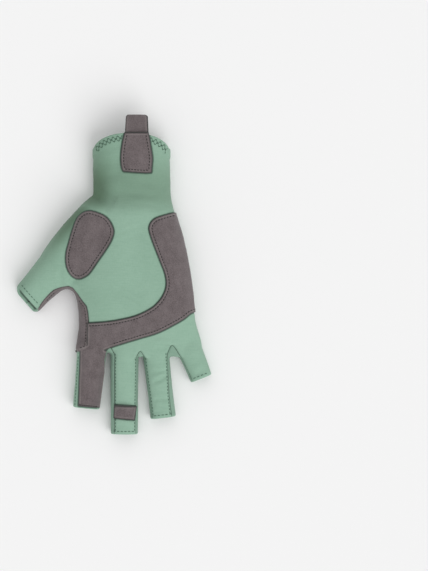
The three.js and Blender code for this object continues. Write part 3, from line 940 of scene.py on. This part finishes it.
def finished(name, bm, material, gap=None, thickness=WALL, round_edge=0.0, lining=None):
    """The finished piece in its place: the sheet with a thickness inwards, and a soft rim where it is raw."""
    for _ in range(FLOOR_ROUNDS):
        bm.normal_update()
        for v in bm.verts:
            v.co.z = max(v.co.z, ON_FLOOR + 1.5 * thickness * max(v.normal.z, 0))
    distances = [(gap or {}).get(v, FAR_FROM_EDGE) for v in bm.verts]
    bmesh.ops.transform(bm, matrix=PLACE, verts=bm.verts)
    for face in bm.faces:
        face.smooth = True
    mesh = bpy.data.meshes.new(name)
    bm.to_mesh(mesh)
    bm.free()
    mesh.attributes.new("from_edge", "FLOAT", "POINT").data.foreach_set("value", distances)
    mesh.materials.append(material)
    if lining:
        mesh.materials.append(lining)
    obj = placed(name, mesh)
    if thickness:
        modify(obj, "thickness", "SOLIDIFY", thickness=thickness * MM, offset=-1)
    if round_edge:
        at_corners = {"limit_method": "ANGLE", "angle_limit": math.radians(50)}
        modify(obj, "soft_rim", "BEVEL", width=round_edge * MM, segments=2, **at_corners)
    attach(obj, "root")
    return obj


HEM = 3.2
SEAM_STRIP = 3.2


def panel(name, cut, material=None, deep=0.9, at_most=FAR_FROM_EDGE, shape=None):
    """A sewn piece: its edges lie in their seams, its open ends are hemmed, and a suede one is lined."""
    bm = sheet_from(cut)
    drop_astray(bm, 0.5)
    gap = refine(bm, SEAM_STRIP)
    press(bm, gap, seam_groove(deep))
    if shape:
        shape(bm)
    # Painted shade: each seam gets a dark line, and at_most keeps a narrow piece somewhat dark all over.
    gap = {v: min(SEAM_LINE + d, at_most) for v, d in gap.items()}
    inside, folded = turn_in(bm, HEM)
    # A hem's inside is painted in shade.
    gap.update({v: IN_SHADE for v in inside})
    for face in folded:
        face.material_index = 0 if material is None else 1
    obj = finished(f"{name}_cloth", bm, material or mint, gap, lining=material and mint)
    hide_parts(name)
    return obj


WHOLE = [(-FAR, -FAR), (FAR, -FAR), (FAR, FAR), (-FAR, FAR)]


def sewn_round(half):
    """One half of the form, with the room for the gusset and the fourchettes taken out."""
    obj = combined(copy_of(form, "half"), "INTERSECT", half)
    obj = combined(obj, "DIFFERENCE", gusset_block())
    for crotch in CROTCH_SEAMS:
        obj = combined(obj, "DIFFERENCE", crotch_block(crotch))
    return obj


palm_panel = panel("palm_panel", sewn_round(block("upper_half", WHOLE, SEAM_Z, 90)))

# Back panel. The same fabric, one piece over the backs of the hand, the fingers and the thumb, sewn and
# hemmed like the palm panel. The glove lies on it.

back_panel = panel("back_panel", sewn_round(block("lower_half", WHOLE, -30, SEAM_Z)))

# Fourchettes. Three narrow strips of the same fabric, sewn between the two panels. Each runs up one finger's
# side, over the crotch and down the next one's.

for name, flat in {
    "fourchette_index_middle": (0.016, 0.12),
    "fourchette_middle_ring": (0.016, 0.12),
    "fourchette_ring_little": (0.016, 0.085),
}.items():
    strip = combined(copy_of(form, name), "INTERSECT", crotch_block(name))
    # at_most paints each fourchette somewhat dark all over, as shade.
    obj = panel(name, strip, deep=0.5, at_most=0.62)

# Web gusset. Grey-brown microsuede round the thumb web, from the thumb's open end to the index finger's side.
# It is sewn in along both edges, and its lower end is turned under and stitched down.


def nap(group, place):
    """A speckled nap, brushed darker and paler in patches."""
    speckle = grain(group, place, (1.4, 1.4, 1.4), 4, 0.7)
    patches = grain(group, place, (0.16, 0.12, 0.16), 2)
    return weighted(group, (speckle, 0.75), (patches, 0.25)), speckle


suede, tree, paint, height, edge, colour = cloth_shader(
    "grey_brown_microsuede",
    cloth_group("suede_nap", nap),
    (0.32, 0.68),
    ((0.092, 0.074, 0.076, 1), (0.178, 0.149, 0.152, 1)),
    Roughness=0.95,
    Specular_IOR_Level=0.15,
    Sheen_Weight=0.25,
    Sheen_Roughness=0.6,
)
# A raw edge is dark, its own colour widened with painted shadow along it and along the gusset's seams, with a
# paler band inside it where the nap is rubbed.
pale = times(tree, in_range(tree, edge, 0.9, 1.3), in_range(tree, edge, 1.7, 2.2, 0.3, 0.0))
colour = blend_colour(tree, pale, colour, (0.25, 0.225, 0.215, 1))
dark = in_range(tree, edge, 0.2, 0.85, 0.9, 0.0)
colour = blend_colour(tree, dark, colour, (0.028, 0.034, 0.03, 1))
tree.links.new(colour, paint.inputs["Base Color"])
paint_bump(tree, paint, height, 0.5, 0.3 * MM)

GUSSET_END_LIFT = 2.0
GUSSET_LIFT_START = 13.0  # y
GUSSET_LIFT_RUN = 8.0


def over_the_band(bm):
    """Raises the gusset's lower end, which is stitched down over the band patch."""
    bm.normal_update()
    for v in bm.verts:
        near_end = clamped((GUSSET_LIFT_START - v.co.y) / GUSSET_LIFT_RUN)
        upper = clamped(1.6 * v.normal.z)
        v.co += v.normal * GUSSET_END_LIFT * near_end * near_end * (3 - 2 * near_end) * upper


gusset_sheet = combined(copy_of(form, "gusset"), "INTERSECT", gusset_block())
web_gusset = panel("web_gusset", gusset_sheet, material=suede, deep=0.8, shape=over_the_band)

# Palm patches. Microsuede laid on the palm panel and stitched down near a raw edge: one on the thumb's ball,
# and a band that runs down the little finger's side, across under the knuckles and along the index finger.

SUEDE = 1.0
LIFT = 1.35  # the patch's top over the cloth's
STITCH_INSET = 2.3


def patch_relief(d):
    """The patch's top: rounded down at its raw edge, drawn in along its stitches, and full between them."""
    edge_drop = -0.55 * (1 - d / 0.9) ** 2 if d < 0.9 else 0
    seam = -0.32 * math.exp(-(((d - STITCH_INSET) / 0.5) ** 2))
    return LIFT + edge_drop + seam + 0.14 * math.exp(-(((d - 4.4) / 1.6) ** 2))


def suede_piece(name, bm, gap, round_edge=0.2):
    """The finished piece of suede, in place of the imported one."""
    obj = finished(f"{name}_suede", bm, suede, gap, thickness=SUEDE, round_edge=round_edge)
    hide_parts(name)
    return obj


def patch(name, outline, low=SEAM_Z + 1.3, shade=1.0):
    """A patch of the form over a plan outline, down to a lowest z; a shade under 1 widens its dark edge."""
    bm = sheet_from(combined(copy_of(uncut, name), "INTERSECT", block(name, outline, low, OVER)))
    gap = refine(bm, SEAM_STRIP, 2, seams_only=False)
    press(bm, gap, patch_relief, upright=True)
    return suede_piece(name, bm, {v: d * shade for v, d in gap.items()}, 0.22)


thenar_points = [
    (-0.388, 0.65), (-0.34, 0.647), (-0.256, 0.63), (-0.203, 0.603), (-0.171, 0.562), (-0.187, 0.522),
    (-0.234, 0.478), (-0.306, 0.424), (-0.372, 0.374), (-0.418, 0.354), (-0.478, 0.344), (-0.536, 0.359),
    (-0.574, 0.398), (-0.58, 0.453), (-0.554, 0.51), (-0.524, 0.566), (-0.488, 0.615), (-0.436, 0.642),
]
thenar_line = run_of([palm_at(*p) for p in thenar_points], 1.0, closed=True)
thenar_patch = patch("thenar_patch", thenar_line)

band_inner = [
    (0.42, 0.648), (0.351, 0.645), (0.253, 0.631), (0.169, 0.613), (0.127, 0.58), (0.139, 0.537),
    (0.208, 0.439), (0.26, 0.366), (0.27, 0.315), (0.245, 0.273), (0.2, 0.239), (0.141, 0.212),
    (0.027, 0.182), (-0.109, 0.163), (-0.244, 0.152), (-0.4, 0.146),
]
band_outer = [
    (-0.191, 0.037), (-0.109, 0.051), (0.027, 0.073), (0.2, 0.101), (0.351, 0.141), (0.427, 0.165),
    (0.493, 0.191), (0.6, 0.2),
]
band_inner_line = run_of([palm_at(*p) for p in band_inner], 1.5)
band_outer_line = run_of([palm_at(*p) for p in band_outer], 1.5)
index_half = FINGERS["index"].tip_width / 2
index_root_half = FINGERS["index"].root_width / 2
band_index = [
    *joined((palm_at, [(-0.401, 0.146), (-0.404, 0.097), (-0.406, 0.048), (-0.458, 0.04), (-0.464, 0.02)])),
    on_finger("index", 0.036, 4.3 - index_half),
    on_finger("index", 0.036, index_half - 0.8),
    on_finger("index", 0.7, index_root_half - 1.0),
    *joined((palm_at, [(-0.273, -0.018), (-0.253, 0.024)])),
]
band_line = [*band_inner_line, *band_index, *band_outer_line, palm_at(0.62, 0.65)]
band_patch = patch("band_patch", band_line)

# Middle-finger tab. A narrow strip of the same suede across the finger, to pull the glove off by. It is
# caught in the finger's side seams, and its upper edge stands free.

tab_corners = [(-15.3, -38.3), (0.8, -39.4), (-0.6, -50.3), (-15.8, -48.7)]
tab_line = [*run_of(tab_corners[:2], 1.0), *run_of(tab_corners[2:], 1.0)]
TAB_LIFT = 1.15
TAB_X, TAB_HALF = -7.7, 8.2
TAB_LOW, TAB_DEPTH = -49.0, 11.0
TAB_STRIP = 2.0
TAB_TOP_EDGE = -40.5
bm = sheet_from(combined(copy_of(form, "tab"), "INTERSECT", block("tab", tab_line, SEAM_Z, OVER)))
gap = refine(bm, TAB_STRIP, seams_only=False)
press(bm, gap, lambda d: TAB_LIFT)
for v in bm.verts:
    across = min(abs(v.co.x - TAB_X) / TAB_HALF, 1)
    upper = clamped((v.co.y - TAB_LOW) / TAB_DEPTH)
    v.co.z += (1 - across**2) * (0.3 + 1.9 * upper**2)
    gap[v] *= 1.0 if v.co.y < TAB_TOP_EDGE else 0.45  # a wider dark edge along the top: painted shadow under its free edge
tab = suede_piece("middle_finger_tab", bm, gap)

# Cuff patch and pull loop. Both are of the same suede. The patch is stitched down over the cuff's edge, and
# the loop is a strip folded double that is caught between it and the hem.

CUFF_MIDDLE = -2.69
LOOP_X = CUFF_MIDDLE + 4.6
PATCH_WIDTH, PATCH_LENGTH = 24.6, 31.0
# Shares of the patch's length from the cuff's edge, and of its width to its left and right edges.
cuff_patch_rows = [
    (-0.015, 0.372, 0.375),
    (0.23, 0.444, 0.431),
    (0.47, 0.488, 0.478),
    (0.65, 0.5, 0.5),
    (0.85, 0.478, 0.478),
    (0.94, 0.44, 0.475),
]


def on_cuff_patch(across, down):
    """A plan point of the cuff patch: shares of its width and length."""
    return (LOOP_X + across * PATCH_WIDTH, CUFF_Y - down * PATCH_LENGTH)


left_side = run_of([on_cuff_patch(-left, down) for down, left, right in cuff_patch_rows], 1.2)
right_side = run_of([on_cuff_patch(right, down) for down, left, right in cuff_patch_rows], 1.2)
lower_end = [on_cuff_patch(-0.40, 0.965), on_cuff_patch(0.28, 1.0), on_cuff_patch(0.46, 0.99)]
cuff_patch_line = [*left_side, *lower_end, *right_side[::-1]]
cuff_patch = patch("cuff_patch", cuff_patch_line, low=16, shade=0.8)

LOOP_REACH = 14.2
LOOP_ROOT = 1.2
LOOP_CORNER = 2.2
LOOP_FOLD = 1.2  # radius outside the fold
LOOP_HALF = 8.2
LOOP_FLARE = 0.7  # how much wider it is on each side at the cuff
LOOP_DROOP = 1.6
LOOP_BOW = 0.25
LOOP_RUN, LOOP_ROUND, LOOP_ACROSS = 22, 9, 18  # points along it, round its fold and steps across it
CUFF_TOP = HAND[0][3]


def cuff_top(x):
    """Height of the cuff's palm side, at a place across it."""
    c = min(abs(x - CUFF_MIDDLE) / CUFF_HALF, 1) ** (CROWN / 2)
    middle = CUFF_TOP * WIDEST_AT
    return middle + (CUFF_TOP - middle) * math.sqrt(1 - c * c) ** (2 / CROWN)


loop_root, fold_start = CUFF_Y - LOOP_ROOT, CUFF_Y + LOOP_REACH - LOOP_FOLD
run = [("out", y) for y in np.linspace(loop_root, fold_start, LOOP_RUN)]
run += [("fold", a) for a in np.linspace(0, math.pi, LOOP_ROUND)[1:-1]]
run += [("back", y) for y in np.linspace(fold_start, loop_root, LOOP_RUN)]
bm = bmesh.new()
bmesh.ops.create_grid(bm, x_segments=LOOP_ACROSS, y_segments=len(run) - 1, size=1)
for v in bm.verts:
    kind, amount = run[round((v.co.y + 1) / 2 * (len(run) - 1))]
    if kind == "fold":
        y = fold_start + LOOP_FOLD * math.sin(amount)
        depth = LOOP_FOLD * (1 - math.cos(amount))
    else:
        y, depth = amount, 0 if kind == "out" else 2 * LOOP_FOLD
    past = y - (CUFF_Y + LOOP_REACH - LOOP_CORNER)
    half = LOOP_HALF + LOOP_FLARE * clamped((CUFF_Y + LOOP_REACH - y) / LOOP_REACH)
    if past > 0:
        half -= LOOP_CORNER - math.sqrt(LOOP_CORNER**2 - min(past, LOOP_CORNER) ** 2)
    x = LOOP_X + v.co.x * half
    out = clamped((y - CUFF_Y) / LOOP_REACH)
    bow = LOOP_BOW * math.sin(3 * v.co.x + 1) * out
    v.co = (x, y, cuff_top(x) - 0.1 - depth - LOOP_DROOP * out**2 + bow)
bmesh.ops.recalc_face_normals(bm, faces=bm.faces)
UPPER_PLY = 22.5  # its faces lie over this height and have to face up
if sum(f.normal.z * f.calc_area() for f in bm.faces if f.calc_center_median().z > UPPER_PLY) < 0:
    bmesh.ops.reverse_faces(bm, faces=bm.faces)
pull_loop = suede_piece("pull_loop", bm, from_border(bm, seams_only=False))

# Painted shadow on the palm's cloth beside the patches and along the gusset's seam: its distance from an edge
# is taken from their outlines too, so the mint's painted edge shade reaches there.

PAINTED_SHADOW_REACH = 0.35
attribute = palm_panel.data.attributes["from_edge"].data
values = np.zeros(len(attribute))
attribute.foreach_get("value", values)
spots = np.array([(PLACE.inverted() @ v.co)[:] for v in palm_panel.data.vertices])
upwards = np.array([v.normal.z > 0.2 for v in palm_panel.data.vertices])
closed_lines = [[*line, line[0]] for line in (thenar_line, band_line, cuff_patch_line, tab_line)]
for outline in [*closed_lines, gusset_palm_seam]:
    gap, share = nearest_on(evenly(outline, 0.4), spots[:, :2])
    values = np.where(upwards, np.minimum(values, np.maximum(gap - PAINTED_SHADOW_REACH, 0)), values)
attribute.foreach_set("value", values)

# Stitches. Seams and patches are topstitched in thread, nearly black on the suede and dark green on the mint,
# and the cuff's hem has a zigzag cover stitch all round.


def thread(name, colour, shade):
    mat, tree, paint = shader(name, Roughness=0.7)
    twist = grain(tree, place_in_mm(tree), (3.0, 3.0, 3.0), 2)
    twined = blend_colour(tree, in_range(tree, twist, 0.35, 0.65), colour, shade)
    tree.links.new(twined, paint.inputs["Base Color"])
    paint_bump(tree, paint, twist, 0.5, 0.1 * MM)
    return mat


dark_thread = thread("dark_thread", (0.008, 0.007, 0.007, 1), (0.022, 0.019, 0.019, 1))
green_thread = thread("green_thread", (0.028, 0.075, 0.048, 1), (0.05, 0.12, 0.08, 1))


def surface_of(obj):
    """The object's outer surface, to drop stitches on, in mm from the palm's centre line."""
    bm = bmesh.new()
    bm.from_mesh(obj.data)
    bmesh.ops.transform(bm, matrix=PLACE.inverted(), verts=bm.verts)
    tree = BVHTree.FromBMesh(bm)
    bm.free()
    return tree


def moved(path, distance):
    """A plan path moved sideways, to its left for a positive distance."""
    pts = evenly(path, 0.8)
    run = np.gradient(pts, axis=0)
    run /= np.hypot(*run.T)[:, None]
    return pts + distance * np.column_stack([-run[:, 1], run[:, 0]])


def drop(trees, x, y, side):
    """The highest place over a plan point, or the lowest one for side -1."""
    best = None
    start = Vector((x, y, 60 if side > 0 else -20))
    for tree in trees:
        place, normal, index, gap = tree.ray_cast(start, Vector((0, 0, -side)))
        if place and (best is None or place.z * side > best[0].z * side):
            best = (place, normal if normal.z * side > 0 else -normal)
    return best


STITCH_FLAT = 0.8  # a stitch's height to its width
STITCH_SUNK = 0.25  # how much of its radius lies in the cloth


def stitch(bm, a, b, normal, radius):
    """One stitch from a to b, sunk a little into the cloth."""
    run = b - a
    if run.length < 0.2:
        return
    t = run.normalized()
    n = (normal - t * normal.dot(t)).normalized()
    turn = Matrix((t.cross(n) * radius, n * radius * STITCH_FLAT, t * (run.length / 2)))
    middle = Matrix.Translation((a + b) / 2 + n * radius * (STITCH_FLAT - STITCH_SUNK))
    matrix = middle @ turn.transposed().to_4x4()
    bmesh.ops.create_uvsphere(bm, u_segments=6, v_segments=4, radius=1, matrix=matrix)


def stitch_line(bm, trees, path, side=1, pitch=2.27, share=0.7, radius=0.36, under=(), level=-1.0):
    """A row of stitches along a plan path, where the cloth is level enough and lies under nothing."""
    pts = evenly(path, pitch)
    for (x0, y0), (x1, y1) in zip(pts, pts[1:]):
        ends = []
        for t in (0.5 - share / 2, 0.5 + share / 2):
            x, y = x0 + (x1 - x0) * t, y0 + (y1 - y0) * t
            hit = drop(trees, x, y, side)
            if hit and hit[1].z * side > level and not drop(under, x, y, side):
                ends.append(hit)
        if len(ends) == 2:
            (a, n), (b, m) = ends
            stitch(bm, a, b, (n + m).normalized(), radius)


def stitches(name, bm, material):
    bmesh.ops.recalc_face_normals(bm, faces=bm.faces)
    obj = finished(name, bm, material, thickness=0)
    return obj


def cloths(*names):
    """The outer surfaces of pieces."""
    return [surface_of(bpy.data.objects[name]) for name in names]


FOURCHETTES = [f"{name}_cloth" for name in CROTCH_SEAMS]
palm_cloth = cloths("palm_panel_cloth", "web_gusset_cloth", *FOURCHETTES)
back_cloth = cloths("back_panel_cloth", "web_gusset_cloth", *FOURCHETTES)
SIDES = ((1, palm_cloth), (-1, back_cloth))

CUFF_PATCH_INSET = 2.4
GUSSET_INSETS = (1.5, 1.4)  # on the palm side and on the back
bm = bmesh.new()
stitch_line(bm, cloths("thenar_patch_suede"), moved([*thenar_line, thenar_line[0]], -STITCH_INSET))
band_top = cloths("band_patch_suede")
stitch_line(bm, band_top, moved(band_inner_line, STITCH_INSET)[3:-1])
stitch_line(bm, band_top, moved(band_outer_line, STITCH_INSET)[2:-3])
patch_top = cloths("cuff_patch_suede")
for edge, way in ((left_side, 1), (right_side, -1)):
    stitch_line(bm, patch_top, moved(edge, way * CUFF_PATCH_INSET)[2:-1])
stitch_line(bm, patch_top, [on_cuff_patch(-0.37, 0.9), on_cuff_patch(0.26, 0.93), on_cuff_patch(0.37, 0.93)])
edge_row = [on_cuff_patch(-0.34, 0.012), on_cuff_patch(0.34, 0.012)]
stitch_line(bm, patch_top, edge_row, pitch=1.0, share=1.1, radius=0.28)
gusset_top = cloths("web_gusset_cloth")
for side, seam, inset in zip((1, -1), (gusset_palm_seam, gusset_back_seam), GUSSET_INSETS):
    stitch_line(bm, gusset_top, moved(run_of(seam, 1.5), -inset)[6:-2], side, radius=0.3, level=0.5)
stitch_line(bm, gusset_top, [palm_at(-0.414, 0.044), palm_at(-0.47, 0.032)], radius=0.3)
index_hem = [on_finger("index", 0.062, 4.8 - index_half), on_finger("index", 0.062, index_half - 1.4)]
stitch_line(bm, band_top, index_hem, pitch=1.6, share=1.05, radius=0.34)
stitches("suede_stitches", bm, dark_thread)

FINE = {"pitch": 2.5, "radius": 0.3}  # the topstitches on the mint
SEAM_INSET = 1.35
HEM_INSET = 2.5
CLEAR_OF_CROTCH = 7  # steps of 0.8 mm
ZIGZAGS = [(1.7, 4.4), (6.3, 3.6)]  # how far each turns back from the cuff's edge
bm = bmesh.new()
for first, second, *seams in CROTCH_SEAMS.values():
    for seam, (side, trees) in zip(seams, SIDES):
        line = moved(crotch_outline(first, second, *seam)[1:-2], SEAM_INSET)[3:-3]
        top = int(np.argmax(line[:, 1]))
        clear = CLEAR_OF_CROTCH if side > 0 else 1
        runs = [line[: top - clear], line[top + clear :]]
        for run in runs[: 1 if side > 0 and second == "little" else 2]:
            stitch_line(bm, trees, run, side, under=band_top if side > 0 else (), **FINE)
index_outer = [on_finger("index", t, 1.6 - finger_half("index", t)) for t in (0.03, 0.5, 0.96)]
stitch_line(bm, palm_cloth, index_outer, **FINE)
for name, finger in FINGERS.items():
    for side, trees in SIDES:
        half = finger.tip_width / 2 - 2.2
        across = [on_finger(name, HEM_INSET / finger.length, way * half) for way in (-1, 1)]
        stitch_line(bm, trees, across, side, under=band_top if side > 0 else (), **FINE)
for side, trees in SIDES:
    across = [
        thumb_centre + THUMB_AXIS * (thumb_end(at, 20 if side > 0 else 0) - HEM_INSET) + THUMB_INWARD * at
        for at in ((-10.5, 9.0) if side > 0 else (-10, 1))
    ]
    stitch_line(bm, trees, across, side, **FINE)
    rim = evenly([(x, cuff_rim(x)) for x in np.linspace(-31.6, 26.3, 120)], 1.9)
    for outer, inner in ZIGZAGS:
        zigzag = []
        for k, (x, y) in enumerate(rim):
            inward = Vector((LOOP_X - x, (CUFF_Y - 60) - y, 0)).normalized()
            zigzag.append(Vector((x, y, 0)) + inward * (outer if k % 2 else inner))
        for a, b in zip(zigzag, zigzag[1:]):
            steps = [a.lerp(b, t) for t in (0.02, 0.5, 0.98)]
            bare = [side < 0 or not drop(patch_top, p.x, p.y, side) for p in steps]
            hits = [drop(trees, p.x, p.y, side) if free else None for p, free in zip(steps, bare)]
            for one, two in zip(hits, hits[1:]):
                if one and two:
                    stitch(bm, one[0], two[0], (one[1] + two[1]).normalized(), 0.28)
stitches("fabric_stitches", bm, green_thread)

bpy.data.meshes.remove(form.data)
bpy.data.meshes.remove(uncut.data)
